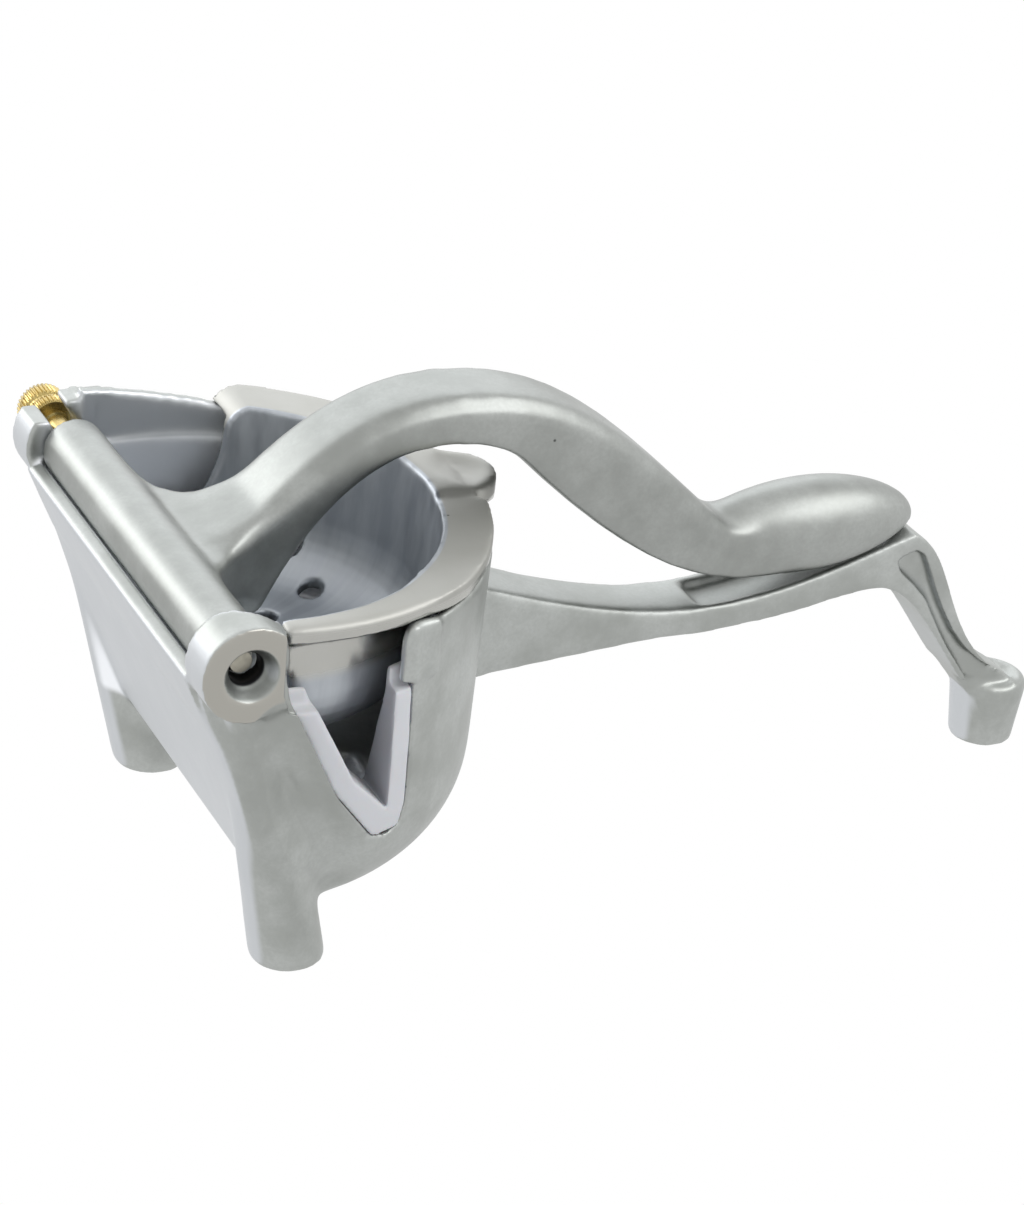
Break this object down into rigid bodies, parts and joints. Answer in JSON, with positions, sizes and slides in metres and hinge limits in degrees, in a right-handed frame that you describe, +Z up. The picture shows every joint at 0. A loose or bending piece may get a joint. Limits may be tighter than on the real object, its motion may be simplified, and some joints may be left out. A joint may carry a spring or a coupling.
{
  "type": "lever citrus press",
  "caption": "Cast aluminium hand press for citrus: a hinged lever squeezes fruit in a lift-out strainer cup over a hopper with a side spout.",
  "frame": {"origin": "on the table under the middle of the press's overall box", "axes": "+X from the hinge towards the palm grip and the front foot, +Y away from the spout, +Z up"},
  "size_m": [0.2148, 0.1237, 0.0985],
  "materials": {
    "cast_aluminium": "tumbled casting, satin",
    "polished_aluminium": "casting with ground rim and polished outside",
    "steel": "turned",
    "brass": "turned and knurled",
    "white_silicone": "matt soft moulding"
  },
  "bodies": {
    "base": {"body_casting": "cast_aluminium", "spout_trim": "white_silicone"},
    "cup": {"strainer_cup": "polished_aluminium"},
    "lever": {"press_lever": "cast_aluminium", "pivot_shaft": "steel"},
    "nut": {"lock_nut": "brass"}
  },
  "joints": [
    {"name": "lever_hinge", "type": "hinge", "parent": "base", "child": "lever", "pos_m": [-0.0979, -0.0051, 0.071], "axis": [0, -1, 0], "range_deg": [0, 105]},
    {"name": "cup_lift", "type": "slide", "parent": "base", "child": "cup", "axis": [0, 0, 1], "range_m": [0, 0.003]},
    {"name": "lock_nut_turn", "type": "hinge", "parent": "lever", "child": "nut", "pos_m": [-0.0979, 0.0499, 0.071], "axis": [0, 1, 0], "range_deg": [0, 1440]}
  ]
}
